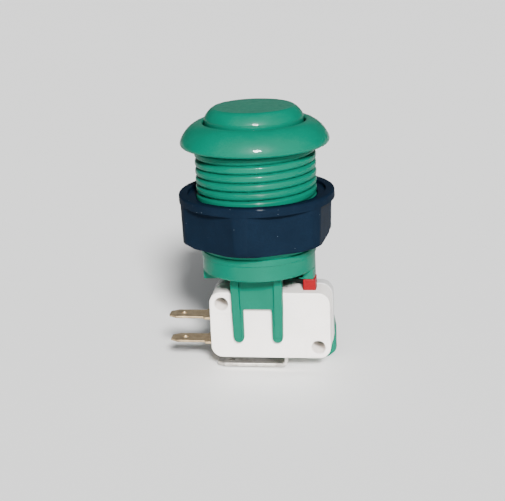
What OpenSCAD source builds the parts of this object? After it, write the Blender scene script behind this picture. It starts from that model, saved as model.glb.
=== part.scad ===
// Arcade push button with a snap-action switch clipped under its barrel.
// Origin: centre of the bezel's underside, where the button sits on its panel. +Z is out of the panel,
// +X runs along the switch from its tabs towards its actuator, -Y is the fork side.

/* [Bezel and barrel] */
// Diameter of the bezel ring
bezel_d = 33.5; // [31:0.1:36]
// Height of the bezel's rim above the panel
bezel_h = 5.3; // [4.4:0.1:6.5]
// Radius of the bezel's lower edge
bezel_edge_r = 0.7; // [0.4:0.1:1.4]
// Radius of the lip round the cap
bezel_lip_r = 0.7; // [0.4:0.1:1.2]
// Fullness of the bezel's dome, where 2 is an ellipse
bezel_round = 1.55; // [1.3:0.05:2.4]
// Diameter over the thread's crests
thread_d = 27.3; // [26:0.1:29]
// Pitch of the barrel's thread
thread_pitch = 1.95; // [1.5:0.05:2.5]
// Depth of the thread's grooves
thread_depth = 0.85; // [0.5:0.05:1]
// Lead-in of the thread below the collar, which sets where its grooves lie
thread_lead = 1.65; // [0.2:0.05:1.9]
// Height of the plain land between the bezel and the thread
land_h = 0.4; // [0.3:0.05:0.6]
// How far the land stands proud of the thread's crests
land_proud = 0.1; // [0.08:0.01:0.2]
// Depth of the barrel below the panel
barrel_l = 28.7; // [26:0.1:32]
// Diameter of the plain drum at the barrel's foot
drum_d = 25.9; // [25.4:0.1:26.4]
// Height of the plain drum
drum_h = 3.6; // [2:0.1:5]
// Height of the collar where the thread runs out
collar_h = 1.5; // [0.8:0.1:2]
// Diameter of the run-out collar
collar_d = 26.4; // [26:0.1:27]
// Wall of the drum
drum_wall = 1.4; // [1.2:0.1:1.8]
// Thickness of the spring floor inside the barrel
floor_t = 1.8; // [1.2:0.1:3]
// Depth of the spring floor's top below the panel
floor_depth = 19.5; // [16:0.5:20]

/* [Plunger] */
// Diameter of the plunger's cap
cap_d = 22.2; // [20:0.1:22.4]
// Diameter of the cap's flat top
cap_flat_d = 17.8; // [14:0.1:20]
// Height of the cap's top above the panel
cap_top = 8.4; // [7.5:0.1:10]
// Fullness of the cap's shoulder, where 2 is an ellipse
cap_round = 1.35; // [1.2:0.05:2.2]
// Height of the cap's rounded shoulder
cap_shoulder_h = 2.4; // [1:0.1:3]
// Wall of the cap and its skirt
cap_wall = 1.5; // [1:0.1:2]
// Length of the plunger's skirt below the cap's top
skirt_l = 13; // [9:0.5:16]
// Radial clearance of the plunger in its bore
bore_clear = 0.35; // [0.2:0.05:0.5]
// Width of a plunger leg
leg_w = 6; // [4:0.1:7]
// Thickness of a plunger leg
leg_t = 1.7; // [1.2:0.1:2]
// Height of the hook at a leg's foot
hook_h = 2.4; // [1.6:0.1:2.6]
// Travel of the plunger
press_travel = 2.2; // [1.4:0.1:2.2]
// Clearance of a leg in its slot
slot_clear = 0.3; // [0.2:0.05:0.6]
// Gap at rest between a hook and what it meets
touch_gap = 0.05; // [0.03:0.01:0.1]

/* [Return spring] */
// Wire diameter of the return spring
spring_wire = 0.7; // [0.5:0.05:0.9]
// Mean diameter of the return spring
spring_d = 12.4; // [11:0.1:13.5]
// Number of turns of the return spring
spring_turns = 8; // [6:1:9]
// Clearance inside the return spring of the rings that centre it
spring_clear = 0.3; // [0.2:0.05:0.5]
// Wall of those rings
ring_wall = 1.2; // [0.8:0.1:1.6]
// Height of the ring on the spring floor
seat_h = 2.5; // [1.5:0.1:3.5]
// Height of the ring under the cap
rib_drop = 4; // [2:0.1:5]

/* [Panel nut] */
// Height of the nut
nut_h = 11.3; // [8:0.1:12]
// Depth of the nut's top below the panel, where it is stored
nut_top = 10.65; // [8:0.1:11]
// Distance across the nut's flats
nut_flats = 32.5; // [31.6:0.1:33]
// Diameter of the turned corners of the nut
nut_corner_d = 35.2; // [34:0.1:36.4]
// Width of the chamfer on the nut's lower corners
nut_chamfer = 1.2; // [0.4:0.1:1.4]
// Diameter of the nut's flange
nut_flange_d = 35.3; // [35:0.1:38]
// Thickness of the nut's flange
nut_flange_t = 2.1; // [1.5:0.1:3]
// Diameter of the shallow recess in the nut's top
nut_recess_d = 31.2; // [29.5:0.1:32]
// Depth of that recess
nut_recess_h = 0.9; // [0.4:0.1:1.5]
// Turn of the nut about the barrel, from a corner at +X
nut_turn = 25; // [0:1:59]
// Radial clearance between the nut and the thread's crests
nut_clear = 0.07; // [0.05:0.01:0.1]

/* [Switch case] */
// Length of the switch case
case_l = 27.8; // [27:0.1:29]
// Height of the switch case
case_h = 15.9; // [15:0.1:17]
// Thickness of the switch case with its cover
case_t = 10.3; // [9.5:0.1:11]
// Thickness of the cover at the back
cover_t = 3.3; // [2.5:0.1:4]
// How far the cover stands proud of the case at their seam
cover_lip = 0.12; // [0.1:0.01:0.2]
// Radius of the case's corners
case_corner_r = 2.7; // [1.5:0.1:3.5]
// Wall of the case and its cover
case_wall = 1.2; // [0.9:0.1:1.5]
// Distance of the case's tab end from the button's axis
case_left = 11.3; // [10.8:0.1:12]
// Gap left between a pressed hook and the top of the case
foot_gap = 0.45; // [0.3:0.05:1]
// Diameter of the case's two fixing holes
hole_d = 3.1; // [2.8:0.1:3.3]
// Inset of a fixing hole from the case's edges
hole_in = 2.8; // [2.6:0.1:3.2]
// Wall round a fixing hole
hole_wall = 0.7; // [0.5:0.1:0.8]

/* [Switch actuator] */
// Width of the actuator along the switch
act_w = 2.85; // [2.4:0.05:3.2]
// Thickness of the actuator across the switch
act_t = 4.1; // [3:0.1:4.4]
// Distance of the actuator's middle from the case's tab end
act_at = 23; // [22.5:0.1:23.4]
// Setback of the actuator's front face from the case's front
act_back = 2.2; // [2:0.1:2.6]
// Clearance of the actuator in its slot
act_clear = 0.08; // [0.05:0.01:0.12]
// Width of the actuator's inner flange on each side
act_flange = 0.8; // [0.5:0.1:1]
// Thickness of the actuator's inner flange
act_flange_t = 1; // [0.8:0.1:1.2]

/* [Terminals] */
// Width of a push-on tab
tab_w = 4.75; // [4.5:0.05:5]
// Thickness of a side tab
tab_t = 0.5; // [0.4:0.05:0.8]
// Reach of the side tabs from the case
tab_reach = 10.4; // [8:0.1:11]
// Width of a tab's shoulder at the case
shoulder_w = 6.3; // [5.6:0.1:6.6]
// Length of a side tab's shoulder
shoulder_l = 1.9; // [1:0.1:3]
// Length of the bevels at a tab's tip
tip_l = 1.8; // [0.8:0.1:2.2]
// Width of those bevels across the tab
tip_w = 1.1; // [0.6:0.1:1.4]
// Diameter of a tab's detent hole
detent_d = 1.3; // [1:0.1:1.6]
// Distance of the detent hole from a tab's tip
detent_in = 3.4; // [3:0.1:4]
// Depth of the normally closed tab below the case's top
closed_tab_z = 7.4; // [7:0.1:7.6]
// Depth of the normally open tab below the case's top
open_tab_z = 13.4; // [13:0.1:13.5]
// Thickness of the common terminal
common_t = 0.8; // [0.5:0.05:1]
// Distance of the common terminal's outer face from the case's tab end
common_at = 17.5; // [16.5:0.1:18]
// Gap between the case and the common terminal's run below it
common_gap = 2.6; // [2.2:0.1:2.9]
// Radius of the common terminal's bend
common_bend_r = 1.6; // [1:0.1:1.8]
// Clearance of a terminal in its slot
tab_clear = 0.06; // [0.04:0.01:0.1]

/* [Contacts] */
// Diameter of a contact
contact_d = 2.6; // [2:0.1:3]
// Thickness of a fixed contact
contact_t = 0.7; // [0.5:0.05:0.8]
// Open gap between the contacts
contact_gap = 1; // [0.8:0.05:1.1]
// Distance of the contacts from the case's tab end
contact_at = 5; // [4.5:0.1:5.5]
// Thickness of the moving blade
blade_t = 0.25; // [0.2:0.05:0.35]
// Width of the moving blade
blade_w = 3.6; // [3:0.1:4]
// Wire diameter of the snap spring
snap_wire = 0.3; // [0.2:0.02:0.35]
// Mean diameter of the snap spring
snap_d = 2.1; // [1.8:0.05:2.3]

/* [Fork and back plate] */
// Width of the fork
fork_w = 11.8; // [10:0.1:12.4]
// Thickness of the fork
fork_t = 1.3; // [1:0.1:1.6]
// Width of the opening between the fork's legs
fork_gap = 6.6; // [6.3:0.1:7]
// Drop of the fork's web below the top of the case
fork_web = 3.6; // [2.5:0.1:5]
// Drop of the fork's tips below the top of the case
fork_tip = 11.7; // [9:0.1:13]
// Radius of the corners between the fork's web and its legs
fork_corner_r = 0.45; // [0.2:0.05:0.8]
// Height of the fork's ribs at their top
rib_h = 0.9; // [0.4:0.1:1.2]
// Height of the fork's ribs at their foot
rib_foot_h = 0.25; // [0.1:0.05:0.4]
// Width of the fork's ribs
rib_w = 1.9; // [1.2:0.1:2.2]
// Thickness of the back plate
plate_t = 1.8; // [1.4:0.1:2.2]
// Reach of the back plate past the case's actuator end
plate_past = 0.45; // [0.2:0.05:1]
// Reach of the back plate below the case
plate_below = 3.8; // [3.2:0.1:4]
// Diameter of the back plate's pegs
peg_d = 3; // [2.7:0.05:3.05]
// Thickness of the back plate's ribs
plate_rib_t = 1.4; // [1:0.1:2]
// Height of the back plate's ribs at their top
plate_rib_h = 1.2; // [0.8:0.1:1.6]
// Length of the back plate's pegs
peg_l = 2.4; // [1.5:0.1:3]
// Gap between the switch and the fork or the plate
grip_gap = 0.1; // [0.05:0.05:0.2]

/* [Hidden] */
$fn = 72;
bore_r = cap_d/2 + bore_clear;
thread_r = thread_d/2;
core_r = thread_r - thread_depth;
drum_r = drum_d/2;
drum_bottom = -barrel_l;
thread_end = drum_bottom + drum_h + collar_h;
floor_top = -floor_depth;
floor_bottom = floor_top - floor_t;
skirt_room_r = drum_r - drum_wall;
leg_out = cap_d/2;
leg_inset = 0.3;
ring_r = spring_d/2 - spring_wire/2 - spring_clear;
leg_in = leg_out - leg_t;
hook_bottom = drum_bottom - touch_gap - hook_h;
case_top = hook_bottom - press_travel - foot_gap;
case_bottom = case_top - case_h;
case_x0 = -case_left;
case_x1 = case_x0 + case_l;
case_y0 = -case_t/2;
case_y1 = case_t/2;
split_y = case_y1 - cover_t;
room_y0 = case_y0 + case_wall;
room_y1 = case_y1 - case_wall;
hole_a = [case_x0 + hole_in, case_top - hole_in];
hole_b = [case_x1 - hole_in, case_bottom + hole_in];
boss_r = hole_d/2 + hole_wall;
act_x = case_x0 + act_at;
act_y = case_y0 + act_back + act_t/2;
act_top = hook_bottom - touch_gap;
act_flange_top = case_top - case_wall - touch_gap;
act_bottom = act_flange_top - act_flange_t;
closed_z = case_top - closed_tab_z;
open_z = case_top - open_tab_z;
contact_x = case_x0 + contact_at;
contact_low_z = closed_z - contact_t;
blade_z = contact_low_z - (open_gap_z() - contact_gap)/2;
common_x = case_x0 + common_at;
common_z = case_bottom - common_gap;
post_x = case_x1 - case_wall - 0.5;
riser_x = hole_b.x - boss_r - 0.5;
rivet_d = 1.2;
fork_back = case_y0 - grip_gap;
plate_front = case_y1 + grip_gap;
thread_seg = 36;
joint_over = 0.4;

green = [0.16, 0.62, 0.47];
navy = [0.08, 0.17, 0.27];
white = [0.93, 0.91, 0.89];
red = [0.85, 0.22, 0.24];
brass = [0.72, 0.58, 0.34];
tinned = [0.75, 0.74, 0.72];
steel = [0.62, 0.63, 0.65];
silver = [0.85, 0.85, 0.86];

// Free height between the two fixed contacts
function open_gap_z() = (closed_z - contact_t) - (open_z + tab_t + contact_t);

// Points on an arc
function arc(cx, cy, r, a0, a1, n) =
  [for (i = [0:n]) let (a = a0 + (a1 - a0)*i/n) [cx + r*cos(a), cy + r*sin(a)]];

// Quarter of a rounded bevel that starts level with cy and ends above cx: power 2 is an ellipse, 1 a bevel
function quarter(cx, cy, rx, ry, n, power) =
  [for (i = [0:n]) let (a = 90*i/n) [cx + rx*pow(cos(a), 2/power), cy + ry*pow(sin(a), 2/power)]];

// A solid turned about Z from an outline of [radius, height] points
module turned(outline) {
  rotate_extrude() polygon(outline);
}

// A plate in the XZ plane, from y0 to y1
module upright(y0, y1) {
  translate([0, y1, 0]) rotate([90, 0, 0]) linear_extrude(y1 - y0) children();
}

// A plate in the XY plane, from z0 to z1
module level(z0, z1) {
  translate([0, 0, z0]) linear_extrude(z1 - z0) children();
}

// A box between two corners
module box(a, b) {
  translate(a) cube(b - a);
}

// Rounded rectangle between two corners
module round_rect(a, b, r) {
  union() {
    translate([a.x + r, a.y]) square([b.x - a.x - 2*r, b.y - a.y]);
    translate([a.x, a.y + r]) square([b.x - a.x, b.y - a.y - 2*r]);
    for (x = [a.x + r, b.x - r], y = [a.y + r, b.y - r]) translate([x, y]) circle(r);
  }
}

// One pitch of the thread: share of the pitch and radius at each point, wide crests between narrow grooves
thread_rows = [[0, core_r], [0.08, thread_r - 0.4*thread_depth], [0.2, thread_r - 0.09*thread_depth],
  [0.5, thread_r], [0.8, thread_r - 0.09*thread_depth], [0.92, thread_r - 0.4*thread_depth]];

// Right-hand threaded rod from z0 up. Its crests run out into the core at the thread's end, and the step
// at each end of the rod lies inside the drum or the bezel.
module threaded_rod(z0, turns) {
  function limit(z) = core_r - 0.15 + max(0, z - thread_end + 0.5)*0.8;
  m = len(thread_rows);
  last = m*turns;
  n = thread_seg;
  points = concat(
    [for (i = [0:n - 1], j = [0:last]) let (row = thread_rows[j % m], a = 360*i/n,
      z = z0 + thread_pitch*(i/n + floor(j/m) + row[0]), r = min(row[1], limit(z))) [r*cos(a), r*sin(a), z]],
    [[0, 0, z0 + thread_pitch/2], [0, 0, z0 + thread_pitch*(turns + 0.5)]]);
  low = n*(last + 1);
  high = low + 1;
  // The column after the last one is the first, a pitch further up
  function at(i, j) = i < n ? i*(last + 1) + j : j + m;
  faces = concat(
    [for (i = [0:n - 2], j = [0:last - 1]) [at(i, j), at(i, j + 1), at(i + 1, j + 1)]],
    [for (i = [0:n - 2], j = [0:last - 1]) [at(i, j), at(i + 1, j + 1), at(i + 1, j)]],
    [for (j = [0:last - m - 1]) [at(n - 1, j), at(n - 1, j + 1), at(n, j + 1)]],
    [for (j = [0:last - m - 1]) [at(n - 1, j), at(n, j + 1), at(n, j)]],
    [for (i = [0:n - 2]) [low, at(i, 0), at(i + 1, 0)]],
    [[low, at(n - 1, 0), m]],
    [for (j = [0:m - 1]) [low, j + 1, j]],
    [for (i = [0:n - 2]) [high, at(i + 1, last), at(i, last)]],
    [[high, last, at(n - 1, last - m)]],
    [for (j = [last - m:last - 1]) [high, at(n - 1, j), at(n - 1, j + 1)]]);
  polyhedron(points, faces, convexity = 10);
}

// Coil spring standing on z0, as a swept round wire with flat-lying end turns
module coil(r, wire, z0, z1, turns, seg, sides) {
  steps = turns*seg;
  rise = z1 - z0 - wire;
  // Share of the height reached after t turns: the first and the last turn lie nearly flat
  function lift(t) = t < 1 ? 0.04*t : t > turns - 1 ? 1 - 0.04*(turns - t) : 0.04 + 0.92*(t - 1)/(turns - 2);
  points = [for (i = [0:steps], k = [0:sides - 1])
    let (a = 360*i/seg, b = 360*k/sides, q = r + wire/2*cos(b))
      [q*cos(a), q*sin(a), z0 + wire/2 + rise*lift(i/seg) + wire/2*sin(b)]];
  faces = concat(
    [for (i = [0:steps - 1], k = [0:sides - 1])
      [i*sides + k, (i + 1)*sides + (k + 1) % sides, i*sides + (k + 1) % sides]],
    [for (i = [0:steps - 1], k = [0:sides - 1])
      [i*sides + k, (i + 1)*sides + k, (i + 1)*sides + (k + 1) % sides]],
    [[for (k = [0:sides - 1]) k]],
    [[for (k = [sides - 1:-1:0]) steps*sides + k]]);
  polyhedron(points, faces, convexity = 6);
}

// Cap with its rounded shoulder and skirt, two legs with hooks, and a rib that centres the spring
module plunger() {
  r = cap_d/2;
  skirt_bottom = cap_top - skirt_l;
  flat_r = cap_flat_d/2;
  shoulder = quarter(flat_r, cap_top - cap_shoulder_h, r - flat_r, cap_shoulder_h, 10, cap_round);
  color(green) {
    turned(concat([[0, cap_top - cap_wall], [r - cap_wall - 1, cap_top - cap_wall],
      [r - cap_wall, cap_top - cap_wall - 1], [r - cap_wall, skirt_bottom], [r, skirt_bottom]],
      shoulder, [[0, cap_top]]));
    turned([[ring_r - ring_wall, cap_top - cap_wall - rib_drop], [ring_r, cap_top - cap_wall - rib_drop],
      [ring_r, cap_top - cap_wall + 0.5], [ring_r - ring_wall, cap_top - cap_wall + 0.5]]);
    for (side = [0, 180]) rotate([0, 0, side]) plunger_leg(cap_top - cap_shoulder_h - 0.2);
  }
}

module plunger_leg(top) {
  intersection() {
    box([leg_in, -leg_w/2, hook_bottom], [leg_out + 1, leg_w/2, top]);
    translate([0, 0, hook_bottom]) cylinder(r = leg_out - leg_inset, h = top - hook_bottom);
  }
  // The hook, flush with the drum above it
  intersection() {
    box([leg_in, -leg_w/2, hook_bottom], [drum_r, leg_w/2, drum_bottom - touch_gap]);
    translate([0, 0, hook_bottom]) cylinder(r = drum_r, h = hook_h);
  }
}

module return_spring() {
  color(steel) coil(spring_d/2, spring_wire, floor_top + touch_gap, cap_top - cap_wall - touch_gap,
    spring_turns, 20, 8);
}

// Bezel, threaded barrel, drum, fork and back plate in one moulding
module housing() {
  thread_low = thread_end - thread_pitch - thread_lead;
  color(green) {
    difference() {
      union() {
        bezel_blank();
        threaded_rod(thread_low, ceil(0.1 - thread_low/thread_pitch));
        translate([0, 0, -land_h]) cylinder(r = thread_r + land_proud, h = land_h + 0.5);
        translate([0, 0, drum_bottom]) cylinder(r = core_r - 0.35, h = barrel_l + 1);
        translate([0, 0, drum_bottom]) cylinder(r = drum_r, h = drum_h + 0.5);
        translate([0, 0, drum_bottom + drum_h]) cylinder(d = collar_d, h = collar_h);
      }
      translate([0, 0, floor_top]) cylinder(r = bore_r, h = bezel_h - floor_top + 1);
      translate([0, 0, drum_bottom - 1]) cylinder(r = skirt_room_r, h = floor_bottom - drum_bottom + 1);
      for (side = [-1, 1]) leg_slot(side);
    }
    spring_seat();
    fork();
    back_plate();
  }
}

// Domed ring with a rounded lower edge, still solid at its middle
module bezel_blank() {
  r = bezel_d/2;
  e = bezel_edge_r;
  lip = bezel_lip_r;
  turned(concat([[0, 0]], arc(r - e, e, e, -90, 0, 5),
    quarter(bore_r + lip, e, r - bore_r - lip, bezel_h - e, 14, bezel_round),
    arc(bore_r + lip, bezel_h - lip, lip, 90, 180, 4), [[0, bezel_h - lip]]));
}

// Slot in the spring floor for a plunger leg
module leg_slot(side) {
  w = leg_w/2 + slot_clear;
  intersection() {
    box([min(side*(leg_in - slot_clear), side*bore_r), -w, floor_bottom - 1],
      [max(side*(leg_in - slot_clear), side*bore_r), w, floor_top + 1]);
    translate([0, 0, floor_bottom - 1]) cylinder(r = skirt_room_r, h = floor_t + 2);
  }
}

// Ring on the floor that centres the return spring
module spring_seat() {
  difference() {
    translate([0, 0, floor_top - 0.5]) cylinder(r = ring_r, h = seat_h + 0.5);
    translate([0, 0, floor_top - 1]) cylinder(r = ring_r - ring_wall, h = seat_h + 2);
  }
}

// Front fork: a web with two round-tipped legs and a tapering rib on each
module fork() {
  leg = (fork_w - fork_gap)/2;
  tip = case_top - fork_tip;
  web = case_top - fork_web;
  c = fork_corner_r;
  upright(fork_back - fork_t, fork_back) {
    translate([-fork_w/2, web]) square([fork_w, floor_bottom + joint_over - web]);
    for (s = [-1, 1]) difference() {
      translate([s*(fork_gap/2 - c/2 + 0.1) - c/2 - 0.1, web - c]) square([c + 0.2, c + 0.5]);
      translate([s*(fork_gap/2 - c), web - c]) circle(c);
    }
    for (s = [-1, 1]) {
      translate([s*(fork_gap/2 + leg/2) - leg/2, tip + leg/2]) square([leg, web - tip - leg/2 + 1]);
      translate([s*(fork_gap/2 + leg/2), tip + leg/2]) circle(leg/2);
    }
  }
  for (x = [-fork_w/2, fork_w/2 - rib_w]) fork_rib(x, tip + leg/2);
}

module fork_rib(x, low) {
  y = fork_back - fork_t;
  translate([x, 0, 0]) rotate([90, 0, 90]) linear_extrude(rib_w)
    polygon([[y + 0.5, low], [y - rib_foot_h, low], [y - rib_h, drum_bottom - 1],
      [y - rib_h, floor_bottom + joint_over], [y + 0.5, floor_bottom + joint_over]]);
}

// Back plate behind the switch, with two pegs in the case's fixing holes and two stiffening ribs
module back_plate() {
  right = case_x1 + plate_past;
  low = case_bottom - plate_below;
  neck = sqrt(pow(skirt_room_r, 2) - pow(plate_front + plate_t, 2)) + 0.5;
  upright(plate_front, plate_front + plate_t) polygon([
    [-neck, floor_bottom + joint_over], [neck, floor_bottom + joint_over], [neck, case_top - 0.6],
    [right - 0.9, case_top - 7.3], [right, case_top - 11.8], [right, low + 1.7], [right - 2.1, low],
    [hole_b.x - 8, low], [case_x0 + 0.2, hole_a.y - 5], [case_x0 + 0.2, case_top - 1.6],
    [-neck, case_top - 0.6]]);
  for (p = [hole_a, hole_b]) translate([p.x, plate_front - grip_gap - peg_l, p.y])
    rotate([-90, 0, 0]) cylinder(d = peg_d, h = peg_l + grip_gap + 1);
  plate_rib(-6, hole_a.y - 5);
  plate_rib(4, low + 2);
}

module plate_rib(x, low) {
  y = plate_front + plate_t;
  translate([x, 0, 0]) rotate([90, 0, 90]) linear_extrude(plate_rib_t)
    polygon([[y - 0.5, low], [y, low], [y + plate_rib_h, drum_bottom - 1],
      [y + plate_rib_h, floor_bottom + joint_over], [y - 0.5, floor_bottom + joint_over]]);
}

// Hexagonal nut with turned corners, a round flange and a shallow recess on top
module panel_nut() {
  bottom = -nut_top - nut_h;
  corner = nut_corner_d/2;
  color(navy) difference() {
    union() {
      intersection() {
        rotate([0, 0, nut_turn]) translate([0, 0, bottom])
          cylinder(d = nut_flats/cos(30), h = nut_h - 0.5, $fn = 6);
        turned([[0, bottom], [corner - nut_chamfer, bottom], [corner, bottom + nut_chamfer/2],
          [corner, -nut_top], [0, -nut_top]]);
      }
      turned(concat([[0, -nut_top - nut_flange_t], [nut_flange_d/2 - 0.2, -nut_top - nut_flange_t]],
        arc(nut_flange_d/2 - 0.4, -nut_top - 0.4, 0.4, 0, 90, 4), [[0, -nut_top]]));
    }
    translate([0, 0, bottom - 1]) cylinder(r = thread_r + nut_clear, h = nut_h + 2);
    translate([0, 0, -nut_top - nut_recess_h]) cylinder(d = nut_recess_d, h = nut_recess_h + 1);
    turned([[0, bottom - 1], [thread_r + 1.8, bottom - 1], [thread_r - 0.2, bottom + 1], [0, bottom + 1]]);
  }
}

// Outline of the case in the XZ plane, drawn in by a margin
module case_outline(margin) {
  round_rect([case_x0 + margin, case_bottom + margin], [case_x1 - margin, case_top - margin],
    max(case_corner_r - margin, 0.4));
}

// Slots of the terminals and the actuator, cut from the case and its cover alike
module case_slots() {
  c = tab_clear;
  for (z = [closed_z, open_z])
    box([case_x0 - 1, -shoulder_w/2 - c, z - c], [case_x0 + case_wall + 1, shoulder_w/2 + c, z + tab_t + c]);
  box([common_x - common_t - c, -tab_w/2 - c, case_bottom - 1],
    [common_x + c, tab_w/2 + c, case_bottom + case_wall + 1]);
  box([act_x - act_w/2 - act_clear, act_y - act_t/2 - act_clear, case_top - case_wall - 1],
    [act_x + act_w/2 + act_clear, act_y + act_t/2 + act_clear, case_top + 1]);
}

module fixing_holes() {
  for (p = [hole_a, hole_b]) translate([p.x, case_y0 - 1, p.y])
    rotate([-90, 0, 0]) cylinder(d = hole_d, h = case_t + 2);
}

// Front tray of the switch
module switch_case() {
  color(white) difference() {
    union() {
      difference() {
        upright(case_y0, split_y) case_outline(0);
        upright(room_y0, split_y + 1) case_outline(case_wall);
      }
      case_bosses(case_y0 + 0.5, split_y);
    }
    fixing_holes();
    case_slots();
  }
}

// Back cover of the switch
module switch_cover() {
  color(white) difference() {
    union() {
      difference() {
        upright(split_y, case_y1) case_outline(-cover_lip);
        upright(split_y - 1, room_y1) case_outline(case_wall);
      }
      case_bosses(split_y, case_y1 - 0.5);
    }
    fixing_holes();
    case_slots();
  }
}

// Walls round the fixing holes, kept inside the case's outline
module case_bosses(y0, y1) {
  intersection() {
    upright(y0, y1) case_outline(0.3);
    for (p = [hole_a, hole_b]) translate([p.x, y0, p.y])
      rotate([-90, 0, 0]) cylinder(r = boss_r, h = y1 - y0);
  }
}

// Actuator pin with a flange that keeps it in the case
module switch_actuator() {
  color(red) {
    box([act_x - act_w/2, act_y - act_t/2, act_bottom], [act_x + act_w/2, act_y + act_t/2, act_top]);
    box([act_x - act_w/2 - act_flange, act_y - act_t/2, act_bottom],
      [act_x + act_w/2 + act_flange, act_y + act_t/2, act_flange_top]);
  }
}

// Snap spring between the actuator and the blade
module snap_spring() {
  color(steel) translate([act_x, act_y, 0])
    coil(snap_d/2, snap_wire, blade_z + blade_t + touch_gap, act_bottom - touch_gap, 5, 14, 6);
}

// Blade from its anchor at the actuator end to the contacts, with a window that makes it springy
module contact_blade() {
  end_x = contact_x - contact_d/2 - 0.3;
  color(brass) level(blade_z, blade_z + blade_t) difference() {
    union() {
      translate([end_x + 1, -blade_w/2]) square([post_x - end_x - 1, blade_w]);
      translate([end_x, -contact_d/2]) square([2, contact_d]);
    }
    round_rect([contact_x + contact_d/2 + 1.4, -0.7], [act_x - 3, 0.7], 0.6);
    translate([contact_x, 0]) circle(d = rivet_d + 0.04);
  }
}

// Double-faced contact riveted through the blade's free end
module moving_contact() {
  half = (open_gap_z() - contact_gap)/2;
  color(silver) translate([contact_x, 0, 0]) {
    translate([0, 0, blade_z + blade_t]) cylinder(d = contact_d, h = half - blade_t - touch_gap/2);
    translate([0, 0, blade_z - half]) cylinder(d = contact_d, h = half);
    translate([0, 0, blade_z - 0.5]) cylinder(d = rivet_d, h = blade_t + 1);
  }
}

// Side tab with shoulders, chamfered tip and detent hole, and its inner end under or over the contact
module side_terminal(z) {
  tip = case_x0 - tab_reach;
  color(brass) level(z, z + tab_t) difference() {
    union() {
      polygon([[tip, -tab_w/2 + tip_w], [tip + tip_l, -tab_w/2], [case_x0, -tab_w/2], [case_x0, tab_w/2],
        [tip + tip_l, tab_w/2], [tip, tab_w/2 - tip_w]]);
      translate([case_x0 - shoulder_l, -shoulder_w/2]) square([shoulder_l + case_wall + 0.6, shoulder_w]);
      translate([case_x0, -blade_w/2]) square([contact_at + contact_d/2 + 0.4, blade_w]);
    }
    translate([tip + detent_in, 0]) circle(d = detent_d);
  }
}

module normally_closed_terminal() {
  side_terminal(closed_z);
}

module normally_open_terminal() {
  side_terminal(open_z);
}

module normally_closed_contact() {
  color(silver) translate([contact_x, 0, closed_z - contact_t]) cylinder(d = contact_d, h = contact_t);
}

module normally_open_contact() {
  color(silver) translate([contact_x, 0, open_z + tab_t]) cylinder(d = contact_d, h = contact_t);
}

// Common terminal: a run below the case with its bend, a riser through the case and a post for the blade
module common_terminal() {
  r = common_bend_r;
  t = common_t;
  inner_z = case_bottom + case_wall + 0.6;
  left = case_x0 + 0.6;
  arm_z = blade_z - 0.3;
  color(tinned) {
    // The bend under the case, then the leg up through its floor
    upright(-tab_w/2, tab_w/2)
      polygon(concat([[common_x - r, common_z - t]], arc(common_x - r, common_z - t + r, r, -90, 0, 6),
        [[common_x, inner_z + t], [common_x - t, inner_z + t]],
        arc(common_x - r, common_z - t + r, r - t, 0, -90, 6)));
    // Along the floor, up beside the fixing hole and over it to the pad under the blade's anchor
    upright(-blade_w/2, blade_w/2) polygon([[common_x - t, inner_z], [riser_x, inner_z],
      [riser_x, arm_z - t], [post_x, arm_z - t], [post_x, blade_z - touch_gap],
      [post_x - t, blade_z - touch_gap], [post_x - t, arm_z], [riser_x - t, arm_z],
      [riser_x - t, inner_z + t], [common_x - t, inner_z + t]]);
    level(common_z - t, common_z) difference() {
      polygon([[left, -tab_w/2 + tip_w], [left + tip_l, -tab_w/2], [common_x - r, -tab_w/2],
        [common_x - r, tab_w/2], [left + tip_l, tab_w/2], [left, tab_w/2 - tip_w]]);
      translate([left + detent_in, 0]) circle(d = detent_d);
    }
  }
}

plunger();
return_spring();
housing();
panel_nut();
switch_case();
switch_cover();
switch_actuator();
snap_spring();
contact_blade();
moving_contact();
common_terminal();
normally_closed_terminal();
normally_closed_contact();
normally_open_terminal();
normally_open_contact();
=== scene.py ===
"""Looks of an arcade push button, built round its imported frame.

Lengths are in metres and angles in radians, unless a name ends in _mm or _deg.
"""

from math import asin, cos, degrees, exp, log, pi, radians, sin, sqrt, tan

import bmesh
import bpy
from mathutils import Matrix, Vector
from mathutils.geometry import tessellate_polygon


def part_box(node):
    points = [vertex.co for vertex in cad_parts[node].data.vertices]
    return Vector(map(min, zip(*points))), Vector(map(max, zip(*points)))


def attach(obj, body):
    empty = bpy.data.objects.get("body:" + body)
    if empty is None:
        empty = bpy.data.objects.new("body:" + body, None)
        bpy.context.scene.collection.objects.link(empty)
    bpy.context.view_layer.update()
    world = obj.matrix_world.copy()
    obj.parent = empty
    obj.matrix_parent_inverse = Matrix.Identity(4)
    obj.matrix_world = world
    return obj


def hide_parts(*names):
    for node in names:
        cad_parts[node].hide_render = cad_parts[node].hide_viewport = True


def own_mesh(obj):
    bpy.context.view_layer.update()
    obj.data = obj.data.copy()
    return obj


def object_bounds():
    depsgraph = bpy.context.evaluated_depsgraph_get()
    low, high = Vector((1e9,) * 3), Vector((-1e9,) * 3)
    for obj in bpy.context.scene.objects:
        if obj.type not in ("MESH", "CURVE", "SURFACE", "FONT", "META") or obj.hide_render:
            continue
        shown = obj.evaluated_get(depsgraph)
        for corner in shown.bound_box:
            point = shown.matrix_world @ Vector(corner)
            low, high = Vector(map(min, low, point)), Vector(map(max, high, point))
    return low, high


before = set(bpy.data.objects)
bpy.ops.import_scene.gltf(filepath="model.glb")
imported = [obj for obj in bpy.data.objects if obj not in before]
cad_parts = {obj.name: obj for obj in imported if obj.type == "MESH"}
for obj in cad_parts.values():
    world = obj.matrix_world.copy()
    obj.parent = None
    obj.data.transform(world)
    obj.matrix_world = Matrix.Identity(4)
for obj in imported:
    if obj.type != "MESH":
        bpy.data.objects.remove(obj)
CAD_BOX = [list(corner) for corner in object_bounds()]

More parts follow.
